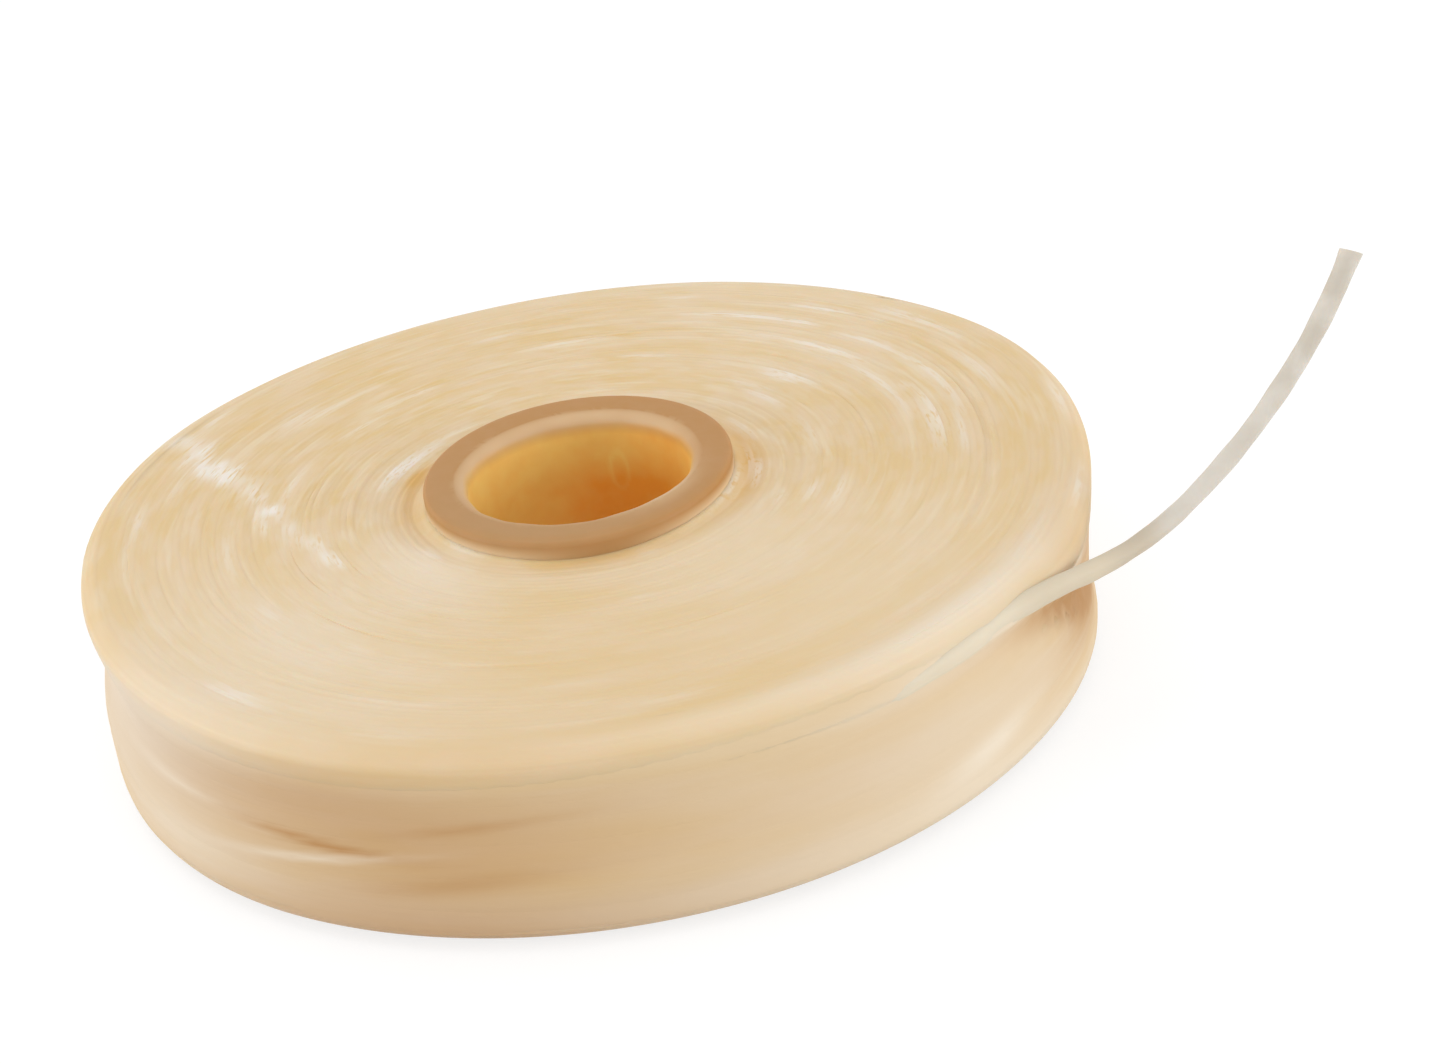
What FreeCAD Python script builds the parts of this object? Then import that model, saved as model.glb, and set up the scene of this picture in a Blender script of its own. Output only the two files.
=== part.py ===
import FreeCAD, Part
import math
import os

import Sketcher

# A small pack of waxed fishing line, wound without flanges on a plain plastic core tube.
# Millimetres. +Z runs up the axis of the core, and z = 0 is the level that the core stands on.
# Four sub-parts: the core tube, the inner layers of line as one solid, the outer layer of turns
# as one unbroken tube, and the end of the line, which leaves the pack and stands free.

Vector = FreeCAD.Vector
doc = FreeCAD.newDocument("LinePack")

# Driving dimensions

SIZES = [
    ("pack_radius", 17.5, "outside of the wound line"),
    ("pack_width", 6.1, "width of the wound line along the axis"),
    ("shoulder_radius", 1.0, "rounding between the faces and the side of the inner layers"),
    ("waist_depth", 0.2, "how far the side draws in between its two shoulders"),
    ("face_dip", 0.2, "how far each face sinks from the shoulder to the core"),
    ("line_diameter", 0.7, "diameter of the waxed line"),
    ("turn_gap", 0.425, "space between one turn of the outer layer and the next"),
    ("seat_gap", 0.02, "clearance between the inner layers and the outer turns"),
    ("core_bore_radius", 3.9, "bore that a spindle goes through"),
    ("core_wall", 1.5, "wall of the core tube"),
    ("core_proud", 0.6, "how far the core stands out of each face of the pack"),
    ("core_mouth_round", 0.35, "rounding at both mouths of the bore"),
    ("core_edge_bevel", 0.15, "bevel at both outer edges of the core"),
]

sheet = doc.addObject("Spreadsheet::Sheet", "Sizes")
for row, (alias, number, note) in enumerate(SIZES, start=1):
    sheet.set(f"A{row}", note)
    sheet.set(f"B{row}", str(number))
    sheet.setAlias(f"B{row}", alias)
doc.recompute()


def size(alias):
    return float(sheet.get(alias))


# The outer layer climbs the side in steady turns, then crosses to the upper shoulder and lies
# there until the end of the line begins. Angles are in degrees about the axis and grow along
# the line, so that LAYER_END is the same direction as the start of the end's route.

LAYER_END = -150.0
LAYER_TURNS = 3.5
CROSSING_START = -418.0
CROSSING_END = -300.0
NODES_PER_TURN = 4

# The end of the line carries straight on from the outer layer for its first run. Then it follows
# points chosen by hand: along the upper shoulder, down onto the side, and out into the air, where
# the stiff waxed line curls up.

FIRST_RUN = 3.46
END_ROUTE = [
    Vector(-7.52, -15.78, 5.95),
    Vector(-0.76, -17.43, 5.30),
    Vector(6.09, -16.30, 4.90),
    Vector(12.90, -12.15, 6.10),
    Vector(17.55, -9.20, 6.05),
    Vector(20.95, -7.15, 7.70),
    Vector(23.55, -5.60, 9.90),
    Vector(25.15, -4.60, 11.90),
    Vector(25.80, -4.15, 13.05),
]
ARC_SHARE = 0.45

# The line's section is a regular polygon with its corners on the line's diameter.

LINE_SIDES = 8


# Helpers for sketches

def origin_feature(body, role):
    return next(item for item in body.Origin.OriginFeatures if item.Role == role)


def new_sketch(body, name, plane):
    sketch = body.newObject("Sketcher::SketchObject", name)
    sketch.AttachmentSupport = (origin_feature(body, plane), [""])
    sketch.MapMode = "FlatFace"
    return sketch


def bind(sketch, name, constraint, formula):
    index = sketch.addConstraint(constraint)
    sketch.renameConstraint(index, name)
    sketch.setExpression(f"Constraints.{name}", formula)


def circle_edges(shape, radius):
    names = []
    for index, edge in enumerate(shape.Edges, start=1):
        if isinstance(edge.Curve, Part.Circle) and abs(edge.Curve.Radius - radius) < 1e-6:
            names.append(f"Edge{index}")
    return names


# Core tube: a plain moulded tube, longer than the pack is wide, with rounded mouths

def core_tube():
    body = doc.addObject("PartDesign::Body", "CoreTube")
    body.Label = "core_tube"
    outer_radius = size("core_bore_radius") + size("core_wall")
    ring = new_sketch(body, "CoreRing", "XY_Plane")
    centre = Vector(0, 0, 0)
    bore = ring.addGeometry(Part.Circle(centre, Vector(0, 0, 1), size("core_bore_radius")), False)
    wall = ring.addGeometry(Part.Circle(centre, Vector(0, 0, 1), outer_radius), False)
    ring.addConstraint(Sketcher.Constraint("Coincident", bore, 3, -1, 1))
    ring.addConstraint(Sketcher.Constraint("Coincident", wall, 3, -1, 1))
    bind(ring, "bore", Sketcher.Constraint("Radius", bore, size("core_bore_radius")),
         "Sizes.core_bore_radius")
    bind(ring, "wall", Sketcher.Constraint("Radius", wall, outer_radius),
         "Sizes.core_bore_radius + Sizes.core_wall")
    pad = body.newObject("PartDesign::Pad", "CoreLength")
    pad.Profile = ring
    pad.setExpression("Length", "Sizes.pack_width + 2 * Sizes.core_proud")
    doc.recompute()
    mouths = body.newObject("PartDesign::Fillet", "CoreMouths")
    mouths.Base = (pad, circle_edges(pad.Shape, size("core_bore_radius")))
    mouths.setExpression("Radius", "Sizes.core_mouth_round")
    doc.recompute()
    edges = body.newObject("PartDesign::Chamfer", "CoreEdges")
    edges.Base = (mouths, circle_edges(mouths.Shape, outer_radius))
    edges.setExpression("Size", "Sizes.core_edge_bevel")
    body.Tip = edges
    return body


# Shape of the inner layers, shared by their own profile and by the turns that lie on them

SIDE_RADIUS = size("pack_radius") - size("line_diameter") - size("seat_gap")
HALF_SIDE = size("pack_width") / 2 - size("shoulder_radius")
PACK_MIDDLE = size("core_proud") + size("pack_width") / 2
SHOULDER_FLATS = 3


def profile_corners():
    """Name, distance from the axis and height of each corner, as formulas on the sheet."""
    side = "(Sizes.pack_radius - Sizes.line_diameter - Sizes.seat_gap)"
    low = "Sizes.core_proud"
    high = "(Sizes.core_proud + Sizes.pack_width)"
    core = "Sizes.core_bore_radius + Sizes.core_wall"
    corners = [("low_core", core, f"{low} + Sizes.face_dip")]
    for step in range(SHOULDER_FLATS + 1):
        angle = 90 * step / SHOULDER_FLATS
        corners.append((
            f"low_shoulder{step}",
            f"{side} - Sizes.shoulder_radius * (1 - sin({angle:g} deg))",
            f"{low} + Sizes.shoulder_radius * (1 - cos({angle:g} deg))"))
    corners.append(("waist", f"{side} - Sizes.waist_depth", f"{low} + Sizes.pack_width / 2"))
    for step in range(SHOULDER_FLATS + 1):
        angle = 90 - 90 * step / SHOULDER_FLATS
        corners.append((
            f"high_shoulder{step}",
            f"{side} - Sizes.shoulder_radius * (1 - sin({angle:g} deg))",
            f"{high} - Sizes.shoulder_radius * (1 - cos({angle:g} deg))"))
    corners.append(("high_core", core, f"{high} - Sizes.face_dip"))
    return corners


# Inner layers: one solid of revolution with dipped faces, rounded shoulders and a slight waist.
# Each shoulder is a few flats whose corners lie on its round, and the turns lie on that round.

def wound_pack():
    body = doc.addObject("PartDesign::Body", "WoundPack")
    body.Label = "wound_pack"
    profile = new_sketch(body, "PackProfile", "XZ_Plane")
    corners = profile_corners()
    points = [Vector(float(profile.evalExpression(across)), float(profile.evalExpression(up)), 0)
              for _, across, up in corners]
    sides = [profile.addGeometry(Part.LineSegment(start, end), False)
             for start, end in zip(points, points[1:] + points[:1])]
    for index, side in enumerate(sides):
        profile.addConstraint(Sketcher.Constraint("Coincident", sides[index - 1], 2, side, 1))
        name, across, up = corners[index]
        bind(profile, f"{name}_across",
             Sketcher.Constraint("DistanceX", -1, 1, side, 1, points[index].x), across)
        bind(profile, f"{name}_up",
             Sketcher.Constraint("DistanceY", -1, 1, side, 1, points[index].y), up)
    turn = body.newObject("PartDesign::Revolution", "PackTurn")
    turn.Profile = profile
    turn.ReferenceAxis = (profile, ["V_Axis"])
    turn.Angle = 360.0
    body.Tip = turn
    return body


# Outer layer of turns

def seat_distance(height):
    """Distance from the axis to the middle of a turn that lies on the inner layers."""
    lift = size("line_diameter") / 2 + size("seat_gap")
    shoulder = size("shoulder_radius")
    offset = abs(height - PACK_MIDDLE)
    if offset < HALF_SIDE:
        return SIDE_RADIUS + lift - size("waist_depth") * (1 - offset / HALF_SIDE)
    return SIDE_RADIUS - shoulder + math.sqrt((shoulder + lift)**2 - (offset - HALF_SIDE)**2)


def turn_height(angle):
    """Height of the line's middle: a steady climb, then an eased crossing to the shoulder."""
    half_line = size("line_diameter") / 2
    pitch = size("line_diameter") + size("turn_gap")
    first = size("core_proud") + half_line
    last = size("core_proud") + size("pack_width") - half_line
    start = LAYER_END - 360 * LAYER_TURNS
    climbed = first + pitch * (min(angle, CROSSING_START) - start) / 360
    share = (angle - CROSSING_START) / (CROSSING_END - CROSSING_START)
    share = min(max(share, 0.0), 1.0)
    return climbed + (last - climbed) * share * share * (3 - 2 * share)


def turn_point(angle):
    height = turn_height(angle)
    distance = seat_distance(height)
    radians = math.radians(angle)
    return Vector(distance * math.cos(radians), distance * math.sin(radians), height)


def turn_direction(angle):
    step = 0.01
    return (turn_point(angle + step) - turn_point(angle - step)).normalize()


def arc_from(start, direction, end):
    """Arc that leaves start along direction and passes through end."""
    chord = end - start
    across = chord - direction * chord.dot(direction)
    radius = chord.dot(chord) / (2 * across.Length)
    centre = start + across.normalize() * radius
    middle = (start + end) * 0.5 - centre
    return Part.Arc(start, centre + middle.normalize() * radius, end).toShape()


def biarc(start, start_direction, end, end_direction):
    """Two arcs that join start to end, with the given directions and a common tangent."""
    chord = end - start
    together = start_direction + end_direction
    spread = 2 * (1 - start_direction.dot(end_direction))
    along = chord.dot(together)
    reach = (math.sqrt(along**2 + spread * chord.dot(chord)) - along) / spread
    join = (start + end + (start_direction - end_direction) * reach) * 0.5
    join_direction = (join - start - start_direction * reach).normalize()
    return [arc_from(start, start_direction, join), arc_from(join, join_direction, end)]


def layer_path(end, end_direction):
    """Edges of the outer layer up to end, with a straight run of one diameter at both ends."""
    straight = size("line_diameter")
    steps = round(LAYER_TURNS * NODES_PER_TURN)
    angles = [LAYER_END + 360 * (index - steps) / NODES_PER_TURN for index in range(steps)]
    points = [turn_point(angle) for angle in angles]
    directions = [turn_direction(angle) for angle in angles]
    points.append(end - end_direction * straight)
    directions.append(end_direction)
    edges = [Part.makeLine(points[0] - directions[0] * straight, points[0])]
    for index in range(steps):
        edges += biarc(points[index], directions[index], points[index + 1], directions[index + 1])
    edges.append(Part.makeLine(points[-1], end))
    return edges


# End of the line: straight runs joined by tangent arcs at each point of the route

def route_path(points):
    edges = []
    radii = []
    here = points[0]
    for before, corner, after in zip(points, points[1:], points[2:]):
        trim = ARC_SHARE * min(before.distanceToPoint(corner), corner.distanceToPoint(after))
        arriving = (corner - before).normalize()
        leaving = (after - corner).normalize()
        radii.append(trim / math.tan(arriving.getAngle(leaving) / 2))
        edges.append(Part.makeLine(here, corner - arriving * trim))
        edges.append(arc_from(corner - arriving * trim, arriving, corner + leaving * trim))
        here = corner + leaving * trim
    edges.append(Part.makeLine(here, points[-1]))
    return edges, radii


# Both lengths of line are swept from a section that is bound to the sheet

def line_tube(name, label, edges, corner):
    """Line swept along its path, with a corner of its section in the given direction."""
    start = edges[0].valueAt(edges[0].FirstParameter)
    forward = edges[0].tangentAt(edges[0].FirstParameter)
    path = doc.addObject("Part::Feature", name + "Path")
    path.Shape = Part.Wire(edges)
    section = doc.addObject("Part::RegularPolygon", name + "Section")
    section.Polygon = LINE_SIDES
    section.setExpression("Circumradius", "Sizes.line_diameter / 2")
    section.Placement = FreeCAD.Placement(
        start, FreeCAD.Rotation(corner, Vector(), forward, "ZXY"))
    tube = doc.addObject("Part::Sweep", name)
    tube.Label = label
    tube.Sections = [section]
    tube.Spine = (path, [])
    tube.Solid = True
    tube.Frenet = False
    return tube


def end_corner(tube, end):
    """Direction from the middle of a tube's end face to one of its corners."""
    face = min(tube.Shape.Faces, key=lambda item: item.CenterOfMass.distanceToPoint(end))
    return (face.Vertexes[0].Point - end).normalize()


# Measurements that are printed with each build

def path_points(edges, spacing):
    points = []
    for edge in edges:
        points += edge.discretize(max(2, round(edge.Length / spacing)))[:-1]
    return points + [edges[-1].valueAt(edges[-1].LastParameter)]


def least_gap(edges):
    """Smallest space between one part of a wound tube and another, measured on points."""
    spacing = 0.5
    apart = round(math.pi * size("pack_radius") / spacing)
    points = path_points(edges, spacing)
    nearest = min(
        point.distanceToPoint(other)
        for index, point in enumerate(points)
        for other in points[index + apart:])
    return nearest - size("line_diameter")


def report_tube(tube, edges):
    length = sum(edge.Length for edge in edges)
    section = LINE_SIDES / 2 * math.sin(2 * math.pi / LINE_SIDES) * (size("line_diameter") / 2)**2
    print(f"{tube.Label}: length {length:.2f} mm, volume {tube.Shape.Volume:.3f} mm3,"
          f" section times length {section * length:.3f} mm3")


layer_end = turn_point(LAYER_END)
end_direction = turn_direction(LAYER_END)
end_route = [layer_end, layer_end + end_direction * FIRST_RUN] + END_ROUTE
end_edges, end_radii = route_path(end_route)
layer_edges = layer_path(layer_end, end_direction)

outer_turns = line_tube("OuterTurns", "outer_turns", layer_edges, Vector(0, 0, 1))
doc.recompute()
line_end = line_tube("LineEnd", "line_end", end_edges, end_corner(outer_turns, layer_end))
nodes = [core_tube(), wound_pack(), outer_turns, line_end]
doc.recompute()

for item in doc.Objects:
    if "Invalid" in item.State or "Error" in item.State:
        raise RuntimeError(f"{item.Label} did not build")
for node in nodes:
    if node.Shape.isNull() or not node.Shape.isValid():
        raise RuntimeError(f"{node.Label} has no valid shape")

report_tube(outer_turns, layer_edges)
print(f"outer_turns: least gap to itself {least_gap(layer_edges):.3f} mm")
report_tube(line_end, end_edges)
print("line_end: radii", ", ".join(f"{radius:.1f}" for radius in end_radii), "mm")
print(f"line_end: first run ends at {end_route[1]}")

os.makedirs("parts", exist_ok=True)
for node in nodes:
    node.Shape.exportStep(os.path.join("parts", f"{node.Label}.step"))
    print(f"{node.Label}: {len(node.Shape.Solids)} solid, {node.Shape.Volume:.2f} mm3")
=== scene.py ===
# %% [markdown]
# # A spool of waxed line without flanges
# The real thing is two parts. A short plastic tube is the core, and a long waxed line, slightly
# flat, is wound on it until it makes a disc 35 mm across. Wax holds the turns, so nothing else is
# needed. The stiff end of the line stands free at one side.
#
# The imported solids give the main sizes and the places. This script puts the finished surfaces round
# them.

import math

import bpy
import numpy as np
from mathutils import Matrix, Vector


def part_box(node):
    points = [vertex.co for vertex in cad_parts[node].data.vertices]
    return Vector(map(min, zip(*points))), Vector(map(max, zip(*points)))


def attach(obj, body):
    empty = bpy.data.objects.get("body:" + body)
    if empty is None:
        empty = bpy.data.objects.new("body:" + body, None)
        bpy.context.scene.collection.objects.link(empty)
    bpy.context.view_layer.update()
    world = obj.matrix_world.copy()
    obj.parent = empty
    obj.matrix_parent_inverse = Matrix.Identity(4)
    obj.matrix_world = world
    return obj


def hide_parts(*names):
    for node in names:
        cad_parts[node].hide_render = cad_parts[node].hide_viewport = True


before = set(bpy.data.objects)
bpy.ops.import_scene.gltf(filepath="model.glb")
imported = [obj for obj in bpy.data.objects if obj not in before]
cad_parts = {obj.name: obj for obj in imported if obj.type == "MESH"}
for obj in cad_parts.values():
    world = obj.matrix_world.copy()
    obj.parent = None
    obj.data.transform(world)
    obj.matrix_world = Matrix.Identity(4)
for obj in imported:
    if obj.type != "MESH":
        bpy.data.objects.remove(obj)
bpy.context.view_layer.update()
MM = 0.001

# %% [markdown]
# ## Sizes
# Sizes that the solids already have are read from them. Only what a solid leaves out is stated, such
# as the fine rings on the two faces of the disc, which are a quarter of a millimetre apart.

# %% Sizes
_, core_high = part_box("core_tube")
_, turns_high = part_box("outer_turns")

CORE_RADIUS = core_high.x
CORE_WALL = 1.5 * MM
RIM_RADIUS = turns_high.x
RING_STEP = 0.25 * MM
print("core radius", round(CORE_RADIUS / MM, 2), "rim radius", round(RIM_RADIUS / MM, 2))

# %% [markdown]
# ## Camera
# The photograph is a close-up, so its perspective is strong. The camera stands two and a half
# diameters away, looks down by 28 degrees and is rolled a little, which tips the disc to the left.

# %% Camera
CAMERA_SPOT = Vector((4.66, -78.46, 45.51)) * MM
LOOK_DOWN = math.radians(27.91)
CAMERA_ROLL = math.radians(-8.04)
CAMERA_LENS = 62.83

bpy.ops.object.camera_add()
camera = bpy.context.object
camera.data.lens = CAMERA_LENS
camera.data.clip_start = 1 * MM
camera.matrix_world = (
    Matrix.Translation(CAMERA_SPOT)
    @ Matrix.Rotation(math.radians(90) - LOOK_DOWN, 4, "X")
    @ Matrix.Rotation(CAMERA_ROLL, 4, "Z"))
bpy.context.scene.camera = camera

# %% [markdown]
# ## Working with operators
# An operator works on whatever is selected, so everything is deselected before a new piece. A
# finished piece keeps its object at the origin, with its place in its mesh.

# %% Selection and finishing helpers
def deselect_all():
    bpy.ops.object.select_all(action="DESELECT")


def select_only(piece):
    deselect_all()
    piece.select_set(True)
    bpy.context.view_layer.objects.active = piece


def apply_modifier(piece, kind, **settings):
    """Adds a modifier with these settings and applies it."""
    modifier = piece.modifiers.new(kind.title(), kind)
    for name, value in settings.items():
        setattr(modifier, name, value)
    select_only(piece)
    bpy.ops.object.modifier_apply(modifier=modifier.name)


def points_of(piece):
    """The piece's points as rows of x, y and z."""
    flat = np.zeros(len(piece.data.vertices) * 3)
    piece.data.vertices.foreach_get("co", flat)
    return flat.reshape(-1, 3)


def move_points(piece, points):
    piece.data.vertices.foreach_set("co", points.ravel())
    piece.data.update()


def store(piece, name, values):
    """Keeps one number per point on the mesh, for the material to read."""
    attribute = piece.data.attributes.new(name, "FLOAT", "POINT")
    attribute.data.foreach_set("value", values.astype(np.float32))


# %% [markdown]
# ## Turning a profile
# The core and the wound layers are round, so each starts as a chain of edges, extruded point by
# point in edit mode. A Screw modifier turns the chain once round the axis. That is the same as a
# lathe, and much faster than the Spin operator on a long profile. Each point keeps the number of
# its row in the chain, so that whole rows can be moved later.

# %% A lathe
def turn_profile(name, profile, steps):
    """A closed profile of (distance from the axis, height), turned once round the axis."""
    deselect_all()
    bpy.ops.mesh.primitive_plane_add(size=MM, location=(profile[0][0], 0, profile[0][1]))
    piece = bpy.context.object
    piece.name = name
    bpy.ops.object.mode_set(mode="EDIT")
    bpy.ops.mesh.select_all(action="SELECT")
    bpy.ops.mesh.merge(type="CENTER")
    for here, there in zip(profile, profile[1:] + profile[:1]):
        step = (there[0] - here[0], 0, there[1] - here[1])
        bpy.ops.mesh.extrude_vertices_move(TRANSFORM_OT_translate={"value": step})
    bpy.ops.mesh.select_all(action="SELECT")
    bpy.ops.mesh.remove_doubles(threshold=0.001 * MM)
    bpy.ops.object.mode_set(mode="OBJECT")
    bpy.ops.object.transform_apply(location=True, rotation=True, scale=True)

    chain = points_of(piece)
    row = piece.data.attributes.new("row", "INT", "POINT")
    row.data.foreach_set("value", [
        int(np.argmin([math.dist((x, z), place) for place in profile])) for x, _, z in chain])
    apply_modifier(piece, "SCREW", angle=math.tau, steps=steps, render_steps=steps, axis="Z",
                   use_merge_vertices=True, merge_threshold=0.001 * MM)
    bpy.ops.object.mode_set(mode="EDIT")
    bpy.ops.mesh.select_all(action="SELECT")
    bpy.ops.mesh.normals_make_consistent(inside=False)
    bpy.ops.object.mode_set(mode="OBJECT")
    return piece


def rows_of(piece):
    """The number of each point's row in the profile."""
    rows = np.zeros(len(piece.data.vertices), dtype=np.int32)
    piece.data.attributes["row"].data.foreach_get("value", rows)
    piece.data.attributes.remove(piece.data.attributes["row"])
    return rows


# %% [markdown]
# ## The shape of the wound line
# No flange holds the line, so the disc isn't a perfect cylinder. Its upper rim swells out at the
# back left, the side is drawn in under the upper shoulder, and the lower half stands out again. One
# function gives the radius of the side at any place, so that the layers, the outermost turns and
# the end of the line all agree.

# %% Shape of the side
TOP = 6.85 * MM
UPPER_EDGE = 6.2 * MM
SPLIT = 3.6 * MM
LOWER_EDGE = 0.78 * MM
BOTTOM = 0.3 * MM
LOWER_ROUND = 0.5 * MM
UPPER_SWELLS = [
    # direction and width in degrees, how far out in mm
    (150, 26, 0.42), (50, 45, 0.16), (24, 18, 0.22), (-20, 14, 0.05), (-148, 25, -0.20),
    (-172, 16, -0.08),
]
LOWER_SWELLS = [(0, 400, 0.06), (-130, 22, 0.14), (-175, 22, -0.16), (16, 20, -0.50)]
HOLLOWS = [
    # direction and width in degrees, height, spread and depth in mm
    (0, 400, 4.9, 1.0, 0.20), (-168, 24, 4.2, 1.0, 0.45), (-103, 30, 4.2, 1.1, 0.22),
    (4, 16, 3.2, 1.5, 0.85), (-140, 16, 2.6, 0.6, -0.08), (-33, 12, 6.0, 0.55, -0.52),
    (-24, 12, 4.9, 1.0, -0.20),
]
# lines over the side, as direction in degrees and height in mm: the crease runs down under the end
# of the line, and the seat is the soft ridge that the line lies on
CREASE = [(-60, 5.1), (-50, 5.15), (-43, 5.1), (-35, 4.7), (-29, 4.1), (-23, 3.4), (-17, 2.9)]
SEAT = [(-80, 5.2), (-70, 5.3), (-60, 5.6), (-50, 5.85), (-42, 5.9), (-34, 5.75)]
CREASE_DEPTH = 0.45 * MM
CREASE_SPREAD = 0.4 * MM
SEAT_HEIGHT = 0.22 * MM
SEAT_SPREAD = 0.45 * MM


def apart(angle, centre):
    """Degrees from a direction to an angle, the shorter way round."""
    return (np.degrees(angle) - centre + 180) % 360 - 180


def bulge(angle, centre, width):
    """1 at a direction in degrees, falling smoothly to 0 over a width."""
    return np.exp(-(apart(angle, centre) / width)**2)


def ridge(height, centre, width):
    """1 at a height, falling smoothly to 0 over a width."""
    return np.exp(-((height - centre) / width)**2)


def along(marks, angle, height, spread):
    """1 on a line over the side, falling smoothly to 0 above and below it."""
    directions, heights = zip(*marks)
    return ridge(height, np.interp(apart(angle, 0), directions, heights) * MM, spread)


def along_crease(angle, height, spread):
    """1 in the crease that runs down under the end of the line, 0 away from it."""
    return bulge(angle, -25, 13) * along(CREASE, angle, height, spread)


def swell(angle, swells):
    """The sum of the swells at a direction."""
    return sum(far * MM * bulge(angle, centre, width) for centre, width, far in swells)


def shoulder_width(angle):
    """The upper shoulder is rounder at the left than at the right, where the face ends in a ridge."""
    return (1.0 - 0.45 * bulge(angle, -52, 28)) * MM


def side_radius(angle, height):
    """The radius of the side at an azimuth and a height, with the rounding above and below."""
    upper = RIM_RADIUS + swell(angle, UPPER_SWELLS)
    lower = RIM_RADIUS + swell(angle, LOWER_SWELLS)
    share = np.clip((UPPER_EDGE - height) / (UPPER_EDGE - LOWER_EDGE), 0, 1)
    radius = upper + (lower - upper) * share
    for centre, width, middle, spread, depth in HOLLOWS:
        radius = radius - depth * MM * bulge(angle, centre, width) * ridge(
            height, middle * MM, spread * MM)
    radius = radius - CREASE_DEPTH * along_crease(angle, height, CREASE_SPREAD)
    radius = radius + SEAT_HEIGHT * bulge(angle, -54, 18) * along(SEAT, angle, height, SEAT_SPREAD)
    over = np.clip((height - UPPER_EDGE) / (TOP - UPPER_EDGE), 0, 1)
    under = np.clip((LOWER_EDGE - height) / (LOWER_EDGE - BOTTOM), 0, 1)
    return (radius - shoulder_width(angle) * (1 - np.sqrt(1 - over**2))
            - LOWER_ROUND * (1 - np.sqrt(1 - under**2)))


print("side at the middle height", round(float(side_radius(0.0, TOP / 2)) / MM, 2), "mm")

# %% [markdown]
# ## The end of the line
# The line is slightly flat, so its end is a ribbon and not a round thread. It lies along the upper
# shoulder, comes down onto the side and then stands free, because the wax makes it stiff. A NURBS
# curve led by the route's points makes one smooth sweep of it, and an oval section gives it its
# width.

# %% Route of the end
LINE_ROUTE = [
    (-0.01471, -0.00849, 0.00635),
    (-0.01298, -0.01149, 0.00635),
    (-0.00752, -0.01578, 0.00595),
    (-0.00076, -0.01743, 0.00530),
    (0.00609, -0.01630, 0.00490),
    (0.01293, -0.01195, 0.00600),
    (0.01776, -0.00835, 0.00558),
    (0.02114, -0.00665, 0.00743),
    (0.02366, -0.00545, 0.00982),
    (0.02522, -0.00460, 0.01190),
    (0.02588, -0.00415, 0.01305),
]


def line_curve(name, points, kind, tilts):
    """A curve through or along the points, with a tilt at each."""
    data = bpy.data.curves.new(name, "CURVE")
    data.dimensions = "3D"
    spline = data.splines.new(kind)
    spline.points.add(len(points) - 1)
    for point, place, tilt in zip(spline.points, points, tilts):
        point.co = (*place, 1)
        point.tilt = tilt
    if kind == "NURBS":
        spline.order_u = 3
        spline.use_endpoint_u = True
        spline.resolution_u = 24
    piece = bpy.data.objects.new(name, data)
    bpy.context.scene.collection.objects.link(piece)
    return piece


def oval(width, thickness):
    """A flat section for a line: a circle drawn out one way."""
    deselect_all()
    bpy.ops.curve.primitive_bezier_circle_add(radius=0.5)
    section = bpy.context.object
    section.scale = (thickness, width, 1)
    section.data.resolution_u = 4
    bpy.ops.object.transform_apply(location=True, rotation=True, scale=True)
    return section


def sweep(curve, section):
    """Gives the curve its section and makes it a mesh."""
    curve.data.bevel_mode = "OBJECT"
    curve.data.bevel_object = section
    curve.data.use_fill_caps = True
    select_only(curve)
    bpy.ops.object.convert(target="MESH")
    piece = bpy.context.object
    bpy.ops.object.shade_smooth_by_angle(angle=math.radians(50))
    bpy.data.objects.remove(section)
    return piece


# %% The end as a ribbon
END_TWIST = [0.0, 0.0, 0.0, 0.0, 0.1, 0.35, 0.8, 1.1, 1.25, 1.3, 1.3]
FLAT_WIDTH = 0.77 * MM
FLAT_THICKNESS = 0.61 * MM

line_end = line_curve("line_end_ribbon", LINE_ROUTE, "NURBS", END_TWIST)
traced = bpy.data.meshes.new_from_object(line_end)
end_path = [tuple(vertex.co) for vertex in traced.vertices]
END_LENGTH = sum(math.dist(here, there) for here, there in zip(end_path, end_path[1:]))
line_end = sweep(line_end, oval(FLAT_WIDTH, FLAT_THICKNESS))
print("end of the line", round(END_LENGTH / MM, 1), "mm in", len(end_path), "points")

# %% Uneven edges, a skewed cut, and a seat on the side
LEAVES_AT = -40
LIFTS = [
    # direction and width in degrees, how far up in mm
    (-60, 19, 0.3), (-36, 8, 0.13),
]
STANDS_OUT = [
    # direction in degrees, middle of the line outside the side in mm
    (-150, -0.55), (-80, -0.52), (-66, -0.40), (-56, -0.27), (-48, -0.16), (LEAVES_AT, -0.10),
]


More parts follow.
